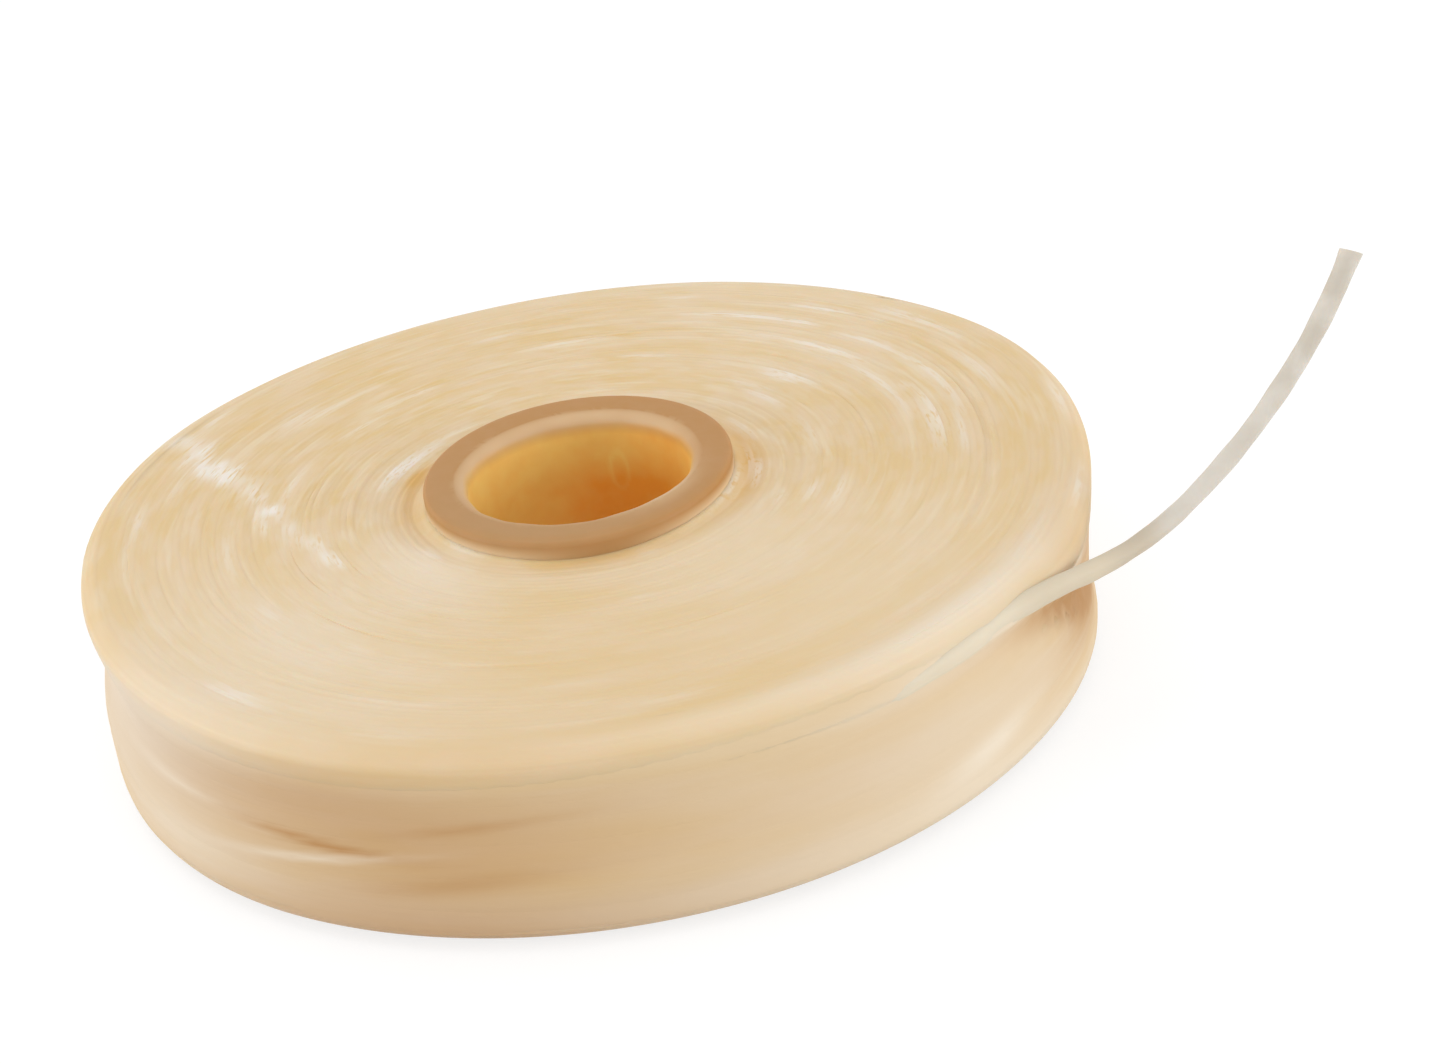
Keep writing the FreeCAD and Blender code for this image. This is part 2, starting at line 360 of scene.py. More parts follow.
def shape_end(piece):
    path = np.array(end_path)
    points = points_of(piece)
    nearest = np.array([((path - point)**2).sum(axis=1).argmin() for point in points])
    steps = np.linalg.norm(np.diff(path, axis=0), axis=1)
    run = np.concatenate([[0], np.cumsum(steps)])[nearest]
    from_tip = END_LENGTH - run
    middle = path[nearest]
    offset = points - middle

    angle = np.arctan2(middle[:, 1], middle[:, 0])
    width = 1 + 0.03 * np.sin(run / (0.47 * MM)) + 0.015 * np.sin(run / (0.21 * MM) + 1.3)
    width += 0.14 * np.exp(-(from_tip / (0.7 * MM))**2) + 0.11 * bulge(angle, -37, 10)
    forwards = (path[-1] - path[-2]) / steps[-1]
    skew = 0.11 * offset[:, 0] * np.clip(1 - from_tip / (0.5 * MM), 0, 1)
    points = middle + offset * width[:, None] + skew[:, None] * forwards

    degrees = np.degrees(angle)
    directions, outside = zip(*STANDS_OUT)
    lifted = middle[:, 2] + swell(angle, LIFTS)
    wanted = side_radius(angle, lifted) + np.interp(degrees, directions, outside) * MM
    held = np.clip((LEAVES_AT - degrees) / 12, 0, 1)
    held = held * held * (3 - 2 * held)
    shift = held * (wanted - np.hypot(middle[:, 0], middle[:, 1]))
    points[:, 0] += shift * np.cos(angle)
    points[:, 1] += shift * np.sin(angle)
    points[:, 2] += lifted - middle[:, 2]
    move_points(piece, points)


shape_end(line_end)
print("end of the line", len(line_end.data.polygons), "faces")

# %% [markdown]
# ## Noise that goes round the axis
# Every turn of the line has its own small ups and downs. A sum of a few waves per turn, with random
# sizes and phases, is smooth and meets itself after a full circle. The random numbers have a fixed
# seed, so the spool is the same each time.

# %% Ring noise
STEPS = 384
ANGLES = np.arange(STEPS) * math.tau / STEPS
random = np.random.default_rng(5)


def ring_noise(rings, first, last):
    """A smooth random value for each ring and step, from waves of first to last a turn."""
    wave = np.arange(first, last + 1)
    size = random.normal(size=(rings, len(wave))) / np.sqrt(wave)
    phase = random.uniform(0, math.tau, size=(rings, len(wave)))
    table = (size[:, :, None] * np.cos(wave[:, None] * ANGLES + phase[:, :, None])).sum(axis=1)
    return table / table.std()


# %% [markdown]
# ## The wound layers
# Each face of the disc shows more than forty fine rings. Each ring has a crest and a groove, with
# four rows of points to a ring. The wax fills the grooves nearly level, so the relief is a few
# hundredths of a millimetre, and it varies along each ring. It is lower in front, which gives the
# near side a softer look. The disc is made in two pieces, so that neither mesh is too heavy. They
# meet half way down the side, where the outermost turns cover the seam.

# %% Rows of the two profiles
ROWS_PER_RING = 4
RING_COUNT = int((RIM_RADIUS - 1.0 * MM - CORE_RADIUS) / RING_STEP)
FACE_ROWS = RING_COUNT * ROWS_PER_RING
SHOULDER_ROWS = 5 * ROWS_PER_RING
SIDE_ROWS = 24
UPPER_DIP = 0.35 * MM
LOWER_DIP = 0.2 * MM
FILLET_HEIGHT = 0.24 * MM
FILLET_SPREAD = 0.28 * MM


def face_rows(edge_height, dip):
    """Radius and height of each row of a face, from the wax on the core to the edge."""
    share = np.linspace(0, 1, FACE_ROWS + 1)[:, None]
    radius = CORE_RADIUS + (side_radius(ANGLES, edge_height) - CORE_RADIUS) * share
    fillet = (math.copysign(FILLET_HEIGHT, dip) * (1 - 0.65 * bulge(ANGLES, -86, 38))
              * ridge(radius, CORE_RADIUS, FILLET_SPREAD))
    return radius, edge_height - dip * (1 - share**0.7) + fillet


def edge_rows(edge_height, side_height):
    """Rows round the edge of a face and down the side to the split, leaving out the first."""
    turned = np.arange(1, SHOULDER_ROWS + 1) / SHOULDER_ROWS * math.pi / 2
    heights = np.concatenate([
        edge_height + (side_height - edge_height) * (1 - np.cos(turned)),
        np.linspace(side_height, SPLIT, SIDE_ROWS + 1)[1:]])[:, None]
    radius = side_radius(ANGLES, heights)
    return radius, np.broadcast_to(heights, radius.shape)


def all_rows(edge_height, side_height, dip):
    face_radius, face_height = face_rows(edge_height, dip)
    edge_radius, height = edge_rows(edge_height, side_height)
    return np.vstack([face_radius, edge_radius]), np.vstack([face_height, height])


print("rings on a face", RING_COUNT)

# %% [markdown]
# ## Where the line crosses over
# At the end of each layer the line climbs onto the next one. On this spool those places lie in a row
# that curls in from the rim to the core, and the line there is whiter: partly paler wax and partly a
# painted sheen where the tilted line catches the light. Each ring that the row reaches gets one such
# place, of two short arcs. Fainter white streaks of paler wax and painted sheen lie elsewhere, the
# plainest of them listed one by one.

# %% Crossovers and streaks
ROW = [
    # radius in mm and direction in degrees
    (9.0, 202), (9.6, 190), (10.2, 182), (11.0, 175), (11.7, 169), (12.6, 164), (14.5, 157),
    (15.8, 153), (17.3, 150),
]
STREAKS = [
    # radius in mm, from and to in degrees, strength
    (7.05, 134, 160, 1.0), (7.3, 144, 168, 1.0), (13.9, 48, 74, 1.0), (15.1, 44, 57, 1.0),
    (12.3, 24, 62, 0.6), (15.7, 22, 46, 0.65), (13.5, 30, 44, 0.8), (13.6, 3, 34, 0.8),
    (11.8, 4, 40, 0.7), (12.5, -8, 20, 0.8), (12.2, -8, 14, 0.5), (16.7, -2, 10, 0.6),
    (10.1, 28, 48, 0.8), (9.7, 34, 46, 0.7), (8.4, 26, 44, 0.65), (8.4, -27, -14, 0.7),
    (6.4, -20, 2, 0.6), (15.5, 168, 182, 0.5), (13.2, 136, 147, 0.6), (10.5, 130, 146, 0.6),
    (10.6, 154, 176, 0.5), (16.1, 142, 150, 0.7), (13.7, 98, 108, 0.5), (11.0, 117, 126, 0.5),
    (9.3, 185, 203, 0.7), (12.4, 208, 218, 0.5), (16.0, 221, 233, 0.8), (15.7, 222, 231, 0.6),
    (14.8, 158, 172, 0.4), (12.9, 124, 150, 0.5),
]
# in mm: how far a crossover strays from the row, and half the length of a crossover and of a fainter
# streak. The last number is how many fainter streaks a ring has on average.
CROSSOVER_ASIDE = 0.45
CROSSOVER_HALF = (0.4, 0.85)
FAINT_HALF = (0.4, 2.2)
FAINT_COUNT = 2.2


def arc_window(centre, half_length):
    """1 in the middle of an arc, in degrees, and 0 past its ends, for every step."""
    return np.clip(1 - np.abs(apart(ANGLES, centre)) / half_length, 0, 1)**0.6


def white_and_sheen_table(radii):
    """How white the line is in each ring at each step: partly paler wax, partly painted sheen."""
    table = np.zeros((len(radii), STEPS))
    row_radii, row_directions = zip(*ROW)
    strength = 0.7
    for ring, radius in enumerate(radii):
        if row_radii[0] * MM < radius:
            if ring % 3 == 0:
                strength = random.uniform(0.3, 0.85)
            centre = np.interp(radius / MM, row_radii, row_directions)
            for _ in range(2):
                aside = math.degrees(random.normal() * CROSSOVER_ASIDE * MM / radius)
                half_length = math.degrees(random.uniform(*CROSSOVER_HALF) * MM / radius)
                table[ring] += (arc_window(centre + aside, half_length)
                                * strength * random.uniform(0.4, 0.9))
        for _ in range(random.poisson(FAINT_COUNT)):
            half_length = math.degrees(random.uniform(*FAINT_HALF) * MM / radius)
            table[ring] += (arc_window(random.uniform(0, 360), half_length)
                            * random.uniform(0.1, 0.7)**2)
    for radius, start, stop, strength in STREAKS:
        ring = int(np.argmin(np.abs(radii - radius * MM)))
        table[ring] += arc_window((start + stop) / 2, (stop - start) / 2) * strength * 0.8
    table += 0.3 * (np.roll(table, 1, axis=0) + np.roll(table, -1, axis=0))
    table = (2 * table + np.roll(table, 1, axis=1) + np.roll(table, -1, axis=1)) / 4
    return np.clip(table, 0, 1)


# %% Relief of the rings
CREST = 0.014 * MM
RING_LIFT = 0.012 * MM
WAX_LIFT = 0.02 * MM
WANDER = 0.05 * MM
FRONT = -82


def ring_relief(ring, on_face):
    """How far each point stands out, how deep in a groove it lies, for painted shade, and how white
    it is, as paler wax and painted sheen.
    """
    row_in_ring = np.arange(len(ring)) % ROWS_PER_RING
    crest = np.sin(math.pi * row_in_ring / ROWS_PER_RING)[:, None]
    rings = int(ring[-1]) + 1
    depth = np.clip(0.8 + 0.5 * ring_noise(rings, 1, 12), 0.1, 2)[ring]
    lift = ring_noise(rings, 1, 9)[ring]
    ring_radii = CORE_RADIUS + RING_STEP * (np.arange(rings) + 0.5)
    wax_white_and_sheen = white_and_sheen_table(ring_radii)[ring]
    relief = on_face * (CREST * (crest - 0.5) * depth + RING_LIFT * lift + WAX_LIFT * wax_white_and_sheen)
    relief *= 1 - 0.4 * bulge(ANGLES, FRONT, 55)
    relief[0] = 0
    return relief, (1 - crest) * depth * on_face, wax_white_and_sheen * on_face


def ring_wander(rings):
    """How far each ring strays from its circle, much like the rings next to it."""
    wander = ring_noise(rings, 2, 7)
    wander = (wander + np.roll(wander, 1, axis=0) + np.roll(wander, 2, axis=0)) / 3
    return WANDER * wander


# %% Moving the rows of a lathe to the finished surface
def wound_piece(name, rows, side):
    """A piece of the wound layers: side is 1 where its face looks up and -1 where it looks down."""
    radius, height = rows
    nominal = [(float(far), float(high)) for far, high in zip(radius[:, 0], height[:, 0])]
    piece = turn_profile(name, nominal + [(CORE_RADIUS, SPLIT)], STEPS)

    row_count = len(radius)
    ring = np.arange(row_count) // ROWS_PER_RING
    rings = int(ring[-1]) + 1
    from_side = FACE_ROWS + SHOULDER_ROWS - np.arange(row_count)
    on_face = np.clip(from_side / ROWS_PER_RING, 0, 1)[:, None]
    relief, groove_shade, wax_white_and_sheen = ring_relief(ring, on_face)

    along = np.gradient(radius, axis=0)
    down = np.gradient(height, axis=0)
    size = np.hypot(along, down)
    radius = radius - side * relief * down / size
    height = height + side * relief * along / size
    inner = np.clip((radius - CORE_RADIUS) / MM, 0, 1) * (from_side > SHOULDER_ROWS)[:, None]
    radius = radius + ring_wander(rings)[ring] * inner

    row = rows_of(piece)
    points = points_of(piece)
    angle = np.arctan2(points[:, 1], points[:, 0])
    step = np.round(angle / math.tau * STEPS).astype(int) % STEPS
    seen = row < row_count
    kept = np.minimum(row, row_count - 1)
    far = np.where(seen, radius[kept, step], CORE_RADIUS)
    points[:, 0] = far * np.cos(angle)
    points[:, 1] = far * np.sin(angle)
    points[:, 2] = np.where(seen, height[kept, step], SPLIT)
    move_points(piece, points)
    # the groove number darkens the grooves as painted shade
    store(piece, "groove_shade", groove_shade[kept, step] * seen)
    # how white the line is: partly paler wax, partly painted sheen
    store(piece, "wax_white_and_sheen", wax_white_and_sheen[kept, step] * seen)
    # no material reads the tone, but drawing it keeps the random numbers that come after it
    store(piece, "tone", ring_noise(rings, 1, 16)[ring][kept, step])
    select_only(piece)
    bpy.ops.object.shade_smooth_by_angle(angle=math.radians(50))
    print(name, len(piece.data.polygons), "faces")
    return piece


upper_layers = wound_piece("upper_layers", all_rows(TOP, UPPER_EDGE, UPPER_DIP), 1)
lower_layers = wound_piece("lower_layers", all_rows(BOTTOM, LOWER_EDGE, -LOWER_DIP), -1)

# %% [markdown]
# ## The outermost turns
# The last turns lie on the side as a flat line that runs up, down and up again while it goes round.
# A coil like this is best made by a loop that works out its points. It is swept on a plain
# cylinder, and then each of its points is moved in or out to the side. Most of the line's thickness
# is sunk in the wax, so only a low crown of it stands out.

# %% Path of the outermost turns
LAYER_END = math.radians(-150)
POINTS_PER_TURN = 120
CROWN_WIDTH = 0.86 * MM
CROWN_THICKNESS = 0.14 * MM
SUNK = 0.04 * MM
ENDS_SUNK = 0.15 * MM
GROWTH = 0.02 * MM
HIGHEST_TURN = 6.4 * MM
FLUSH = 0.028 * MM
FLUSH_FROM = 5.0 * MM
FLUSH_OVER = 0.7 * MM
TRAVERSE = [
    # turns and height in mm
    (0.0, 0.95), (8.5, 5.6), (17.0, 1.0), (24.0, 5.2), (25.0, 6.35),
]
STRAYING = 0.07
LATE_STRAYING = 0.13
LATE_FROM = 17


def outer_path():
    """Points of the coil on a cylinder of the rim's radius, sunk in at both of its ends."""
    marks, places = zip(*TRAVERSE)
    turns = marks[-1]
    rates = (0.37, 0.71, 1.3, 2.1, 3.2)
    phases = random.uniform(0, math.tau, size=len(rates))
    points = []
    for turn in np.arange(int(turns * POINTS_PER_TURN) + 1) / POINTS_PER_TURN:
        restless = STRAYING + LATE_STRAYING * np.clip((turn - LATE_FROM) / 3, 0, 1)
        restless *= min(1, (turns - turn) * 2)
        height = np.interp(turn, marks, places) + restless * sum(
            math.sin(math.tau * turn * rate + phase) for rate, phase in zip(rates, phases))
        height = min(max(height, places[0]) * MM, HIGHEST_TURN)
        from_end = min(turn, turns - turn)
        radius = RIM_RADIUS + GROWTH * turn / turns - SUNK - ENDS_SUNK * max(0, 1 - from_end * 12)
        angle = LAYER_END + math.tau * (turn - turns)
        points.append((radius * math.cos(angle), radius * math.sin(angle), height))
    return points


# %% The outermost turns on the side
outer_points = outer_path()
outer_turns = line_curve("outer_turns_ribbon", outer_points, "POLY", [0] * len(outer_points))
outer_turns.data.twist_mode = "Z_UP"
outer_turns = sweep(outer_turns, oval(CROWN_WIDTH, CROWN_THICKNESS))


def lay_on_side(piece):
    """Moves each point in or out to the side, with the highest turns flush in the wax."""
    points = points_of(piece)
    x, y, height = points.T
    angle = np.arctan2(y, x)
    stands_out = np.hypot(x, y) - RIM_RADIUS
    flush = FLUSH * np.clip((height - FLUSH_FROM) / FLUSH_OVER, 0, 1)
    distance = side_radius(angle, height) + stands_out - flush
    points[:, 0] = distance * np.cos(angle)
    points[:, 1] = distance * np.sin(angle)
    move_points(piece, points)
    # the groove number darkens the crown's edges, where they dip into the side, as painted shade
    store(piece, "groove_shade", np.clip(1 - (stands_out + SUNK) / (CROWN_THICKNESS / 2), 0, 1))


lay_on_side(outer_turns)
print("outermost turns", len(outer_turns.data.polygons), "faces")

# %% [markdown]
# ## The core
# A short moulded tube. Its mouths have a rounded lip, which catches the light, and its outer edges
# are soft as well, as on any cheap moulding. A few rows across the rim and down the wall let its
# paint change there, and small moves of the points give it a lean, a worn edge, a burr and a nick.

# %% Core
BORE_RADIUS = CORE_RADIUS - CORE_WALL
LIP = 0.45 * MM
LIP_DEPTH = 0.4 * MM
OUTER_ROUND = 0.14 * MM
LEAN = 0.07 * MM
WORN = 0.14 * MM
NICK = 0.10 * MM
RIM_ROWS = 5


def core_corner(radius, height, width, depth, count):
    """Points round one corner, from the end of the tube towards its wall."""
    turned = [math.pi / 2 * index / count for index in range(count + 1)]
    return [(radius - width * (1 - math.sin(turn)), height - depth * (1 - math.cos(turn)))
            for turn in turned]


def core_profile():
    """Points of the tube's section: its upper end, its lower end and the wall of its bore."""
    top = core_high.z
    outer = core_corner(CORE_RADIUS, top, OUTER_ROUND, OUTER_ROUND, 6)
    outer += [(CORE_RADIUS, top - down * MM) for down in (0.25, 0.4, 0.55, 0.8)]
    inner = core_corner(BORE_RADIUS, top, -LIP, LIP_DEPTH, 8)
    across = np.linspace(inner[0][0], outer[0][0], RIM_ROWS + 2)[1:-1]
    rim = [(float(place), top) for place in across]
    upper = inner[::-1] + rim + outer
    lower = [(radius, top - height) for radius, height in upper[::-1]]
    wall_heights = np.linspace(top - LIP_DEPTH, LIP_DEPTH, 56)[1:-1]
    return upper + lower + [(BORE_RADIUS, float(height)) for height in wall_heights[::-1]]


def shape_core(points):
    """A rim that stands a little higher at the back, and a mouth with a burr and a nick."""
    angle = np.arctan2(points[:, 1], points[:, 0])
    distance = np.hypot(points[:, 0], points[:, 1])
    outwards = np.clip((distance - BORE_RADIUS) / CORE_WALL, 0, 1)
    points[:, 2] += (LEAN * (1 + np.sin(angle)) * (0.35 + 0.65 * outwards)
                     * points[:, 2] / core_high.z)
    worn_edge_and_highlight = np.clip((outwards - 0.72) / 0.28, 0, 1)**2 * bulge(angle, -90, 75)
    points[:, 2] -= WORN * worn_edge_and_highlight * ridge(points[:, 2], core_high.z, 0.35 * MM)
    at_mouth = ridge(points[:, 2], core_high.z, 0.8 * MM) * (distance < BORE_RADIUS + LIP)
    nick = NICK / (1 + np.exp(-(np.degrees(angle) + 35) / 1.2)) * bulge(angle, -20, 22)
    burr = (0.02 * np.sin(7 * angle) + 0.015 * np.sin(17 * angle + 1)) * MM
    wider = 1 + (nick + burr) * at_mouth / distance
    points[:, :2] *= wider[:, None]


spool_core = turn_profile("spool_core", core_profile(), 240)
rows_of(spool_core)
core_points = points_of(spool_core)
shape_core(core_points)
move_points(spool_core, core_points)
select_only(spool_core)
bpy.ops.object.shade_smooth()
print("core", len(spool_core.data.polygons), "faces")

# %% [markdown]
# ## Paint
# Some places of the line are paler, browner or pinker. This is partly the wax's own colour and partly
# painted shade and painted light: painted shade in the hollow under the shoulder, in the crease under
# the free end and along the bottom edge by the table, painted light where the side is lit and on its
# ridges, and a painted glow of the amber core next to it. Each such place is a soft patch at an
# azimuth and a height, kept on the mesh as a number from 0 to 1, and the material mixes its colours
# by these numbers.

# %% Where the wax is paler, browner or pinker, with painted shade, painted light and a painted glow
# The brown patches are painted shade: in the hollow under the shoulder, in the crease under the free
# end and along the bottom edge by the table. The rose patches are pinker wax and painted shade along
# the bottom edge. The pale patches are paler wax and painted light where the side is lit and on its
# ridges.
SIDE_PATCHES = [
    # share, direction and width in degrees, height and spread in mm, rise per degree, strength
    ("brown_shade", -113, 35, 4.3, 1.5, 0.0, 0.49),
    ("brown_shade", -122, 14, 5.3, 0.8, 0.0, 0.18),
    ("brown_shade", -103, 8, 4.25, 0.16, 0.03, 0.27),
    ("brown_shade", -120, 9, 3.45, 0.13, -0.025, 0.62),
    ("brown_shade", -106, 20, 2.9, 1.0, 0.0, 0.32),
    ("brown_shade", -112, 26, 0.5, 0.4, 0.0, 0.25),
    ("brown_shade", -106, 10, 2.4, 0.35, 0.03, 0.31),
    ("brown_shade", -106, 25, 1.1, 0.9, 0.0, 0.54),
    # painted shadow under the free end of the line, and painted shade on the shoulder above it
    ("brown_shade", -19, 10, 3.0, 1.2, 0.0, 0.95),
    ("brown_shade", -22, 5, 3.3, 0.6, 0.0, 0.40),
    ("brown_shade", -21, 4, 4.7, 0.4, 0.0, 0.30),
    ("brown_shade", -27, 8, 6.2, 0.6, 0.0, 0.24),
    ("brown_shade", -22, 5, 4.9, 0.4, 0.0, 0.45),
    ("brown_shade", -166, 9, 5.9, 0.6, 0.0, 0.10),
    ("rose_and_shade", -166, 10, 6.0, 0.7, 0.0, 0.45),
    ("rose_and_shade", -44, 12, 6.2, 0.5, 0.0, 0.25),
    ("rose_and_shade", 0, 400, 0.45, 0.3, 0.0, 0.25),
    ("rose_and_shade", -150, 34, 4.2, 2.4, 0.0, 0.75),
    ("rose_and_shade", -155, 16, 5.2, 0.9, 0.0, 0.20),
    ("rose_and_shade", -105, 40, 1.2, 0.9, 0.0, 0.45),
    ("rose_and_shade", -122, 22, 0.5, 0.4, 0.0, 0.35),
    ("rose_and_shade", -52, 26, 3.2, 2.4, 0.0, 0.45),
    ("pale_and_lit", -164, 12, 4.8, 2.2, 0.0, 0.28),
    ("pale_and_lit", -141, 12, 1.9, 0.9, 0.0, 0.42),
    ("pale_and_lit", -121, 10, 2.93, 0.14, 0.033, 0.60),
    ("pale_and_lit", -141, 8, 3.75, 0.15, 0.0, 0.40),
    ("pale_and_lit", -46, 7, 2.0, 0.5, 0.04, 0.60),
    ("pale_and_lit", -50, 17, 3.0, 2.0, 0.0, 0.34),
    ("pale_and_lit", -65, 34, 1.1, 0.9, 0.0, 0.36),
    ("pale_and_lit", -40, 19, 0.7, 0.6, 0.0, 0.50),
    ("pale_and_lit", -78, 12, 4.6, 1.0, 0.0, 0.20),
    ("pale_and_lit", -78, 14, 6.1, 0.6, 0.0, 0.25),
    ("pale_and_lit", -140, 16, 6.0, 0.8, 0.0, 0.38),
    ("pale_and_lit", -151, 15, 4.3, 1.8, 0.0, 0.28),
    # painted light that fills the shadow line above the free end of the line
    ("pale_and_lit", -28, 6, 5.3, 0.22, -0.06, 0.80),
]
# The pale patches are paler wax and painted light on the front left and on the shoulder's ridges, and
# they lift the shade round the foot of the core. The brown patches on the edge are painted shade.
FACE_PATCHES = [
    # share, direction and width in degrees, radius and spread in mm, strength
    ("pale_and_lit", -136, 30, 13.5, 5.0, 0.48),
    ("pale_and_lit", -138, 24, 7.4, 1.8, 0.40),
    ("pale_and_lit", -134, 20, 17.0, 0.8, 0.22),
    ("pale_and_lit", -80, 12, 17.0, 0.5, 0.25),
    ("pale_and_lit", -52, 28, 8.6, 2.4, 0.35),
    ("pale_and_lit", -46, 24, 13.4, 2.8, 0.30),
    ("pale_and_lit", -48, 24, 17.0, 0.6, 0.75),
    ("pale_and_lit", 48, 30, 12.0, 5.0, 0.20),
    ("pale_and_lit", 75, 45, 16.8, 1.0, 0.30),
    ("pale_and_lit", 0, 400, 6.7, 0.7, 0.18),
    ("rose_and_shade", -44, 14, 17.2, 0.7, 0.25),
    ("brown_shade", -108, 22, 17.1, 0.6, 0.11),
    ("brown_shade", -27, 8, 17.2, 0.7, 0.22),
    # painted glow of the light through the amber core, with painted shade at its foot
    ("glow_and_shade", 158, 9, 6.3, 0.35, 1.00),
    ("glow_and_shade", 178, 22, 6.0, 0.6, 0.50),
    ("glow_and_shade", 0, 27, 5.95, 0.6, 1.00),
    ("glow_and_shade", -85, 26, 5.6, 0.4, 0.45),
]


def paint(piece):
    x, y, height = points_of(piece).T
    distance = np.hypot(x, y)
    angle = np.arctan2(y, x)
    face = np.clip((height - UPPER_EDGE) / (0.3 * MM), 0, 1)
    shares = {name: np.zeros(len(x)) for name in ("rose_and_shade", "brown_shade", "pale_and_lit", "glow_and_shade")}
    # painted shadow in the crease under the free end, and painted light along the seat that the line
    # lies on
    shares["brown_shade"] += 1.4 * (1 - face) * along_crease(angle, height, 0.5 * MM)
    shares["pale_and_lit"] += 0.6 * (1 - face) * bulge(angle, -46, 18) * along(SEAT, angle, height, 0.6 * MM)
    for name, centre, width, middle, spread, rise, strength in SIDE_PATCHES:
        shares[name] += strength * (1 - face) * bulge(angle, centre, width) * ridge(
            height, (middle + rise * apart(angle, centre)) * MM, spread * MM)
    for name, centre, width, middle, spread, strength in FACE_PATCHES:
        shares[name] += strength * face * bulge(angle, centre, width) * ridge(
            distance, middle * MM, spread * MM)
    for name, share in shares.items():
        store(piece, name, np.clip(share, 0, 1))
    store(piece, "crisp", 1 - 0.78 * bulge(angle, FRONT, 52))


for piece in (upper_layers, lower_layers, outer_turns):
    paint(piece)

# %% Where the core has its lip with a painted highlight, its bore with a painted glow and painted shade, its outer wall with a painted glow, and an oval mark from the mould
MARK_DIRECTION = math.radians(70.7)
MARK_PLACE = 5.11 * MM
MARK_HALF_WIDTH = 0.33 * MM
MARK_HALF_HEIGHT = 0.72 * MM


def paint_core(piece):
    x, y, height = points_of(piece).T
    distance = np.hypot(x, y)
    inwards = np.clip((BORE_RADIUS + LIP - distance) / LIP, 0, 1)
    from_end = np.minimum(core_high.z - height, height)
    angle = np.arctan2(y, x)
    lip_end = (0.05 + 0.2 * bulge(angle, 95, 70)) * MM
    past_lip = np.clip((from_end - lip_end) / (0.5 * MM), 0, 1) * (inwards > 0.5)
    far_down = np.clip((from_end - 1.6 * MM) / (1.1 * MM), 0, 1)
    # painted shade in the bore: darker deep down and on part of the far wall
    deep_shade = 0.10 + 0.50 * bulge(angle, 30, 36) + 0.75 * bulge(angle, 72, 32) * far_down
    deep_shade += 0.12 * (from_end - 0.7 * MM) / (2 * MM)
    aside = (angle - MARK_DIRECTION) * BORE_RADIUS / MARK_HALF_WIDTH
    from_mark = np.hypot(aside, (height - MARK_PLACE) / MARK_HALF_HEIGHT)
    deep_shade -= 0.35 * ridge(from_mark, 1.0, 0.25) * (inwards > 0.9)
    outside = np.clip((core_high.z - 0.2 * MM - height) / (0.35 * MM), 0, 1) * (inwards < 0.1)
    # the pale lip is a painted highlight, weaker at the front and at the right
    lip_highlight = np.sqrt(inwards) * (1 - past_lip) * (1 - 0.75 * bulge(angle, -110, 60))
    lip_highlight *= 1 - 0.6 * bulge(angle, -5, 28)
    # a narrow painted highlight along the front right of the mouth
    worn_edge_and_highlight = np.clip((BORE_RADIUS + 1.0 * MM - distance) / (0.5 * MM), 0, 1) * (1 - past_lip)
    store(piece, "lip_highlight", np.clip(lip_highlight + 0.4 * worn_edge_and_highlight * bulge(angle, -42, 24), 0, 1))
    store(piece, "bore", past_lip**0.8)
    store(piece, "deep_shade", np.clip(deep_shade, 0, 1))
    # a painted glow of light through the plastic on the outer wall, almost none at the front
    store(piece, "wall", outside * (1 - 0.94 * bulge(angle, -82, 31)))
    store(piece, "near", bulge(angle, -110, 70))


paint_core(spool_core)

# %% [markdown]
# ## Materials
# Waxed line is pale, slightly see-through and dull. The paint numbers give its patches of wax colour,
# painted shade and painted light, its grooves in painted shade and its whiter crossovers in paler wax
# with a painted sheen, and noise that runs round the axis gives the streaks along the turns. Light
# goes a little way into the wax, which softens the grooves, so the shader has some subsurface. The
# outermost turns have none. The free line is greyer where it stands in the air. The core is amber
# plastic with a brighter bore, painted brighter as a painted glow of the light through its wall and
# darker deeper down as painted shade; its lip is a painted highlight and its outer wall a painted
# glow.

# %% Node helpers
def new_material(name):
    material = bpy.data.materials.new(name)
    material.use_nodes = True
    return material, material.node_tree.nodes, material.node_tree.links


def shader_of(nodes):
    return next(node for node in nodes if node.type == "BSDF_PRINCIPLED")


def read_number(nodes, name):
    node = nodes.new("ShaderNodeAttribute")
    node.attribute_name = name
    return node.outputs["Fac"]


def math_node(nodes, links, operation, *inputs):
    node = nodes.new("ShaderNodeMath")
    node.operation = operation
    for socket, value in zip(node.inputs, inputs):
        if isinstance(value, (int, float)):
            socket.default_value = value
        else:
            links.new(value, socket)
    return node.outputs[0]


def mix_colour(nodes, links, share, first, second):
    """A mix of two colours, each a socket or an (r, g, b)."""
    node = nodes.new("ShaderNodeMix")
    node.data_type = "RGBA"
    for socket, value in ((node.inputs[0], share), (node.inputs[6], first), (node.inputs[7], second)):
        if isinstance(value, (int, float)):
            socket.default_value = value
        elif isinstance(value, tuple):
            socket.default_value = (*value, 1)
        else:
            links.new(value, socket)
    return node.outputs[2]


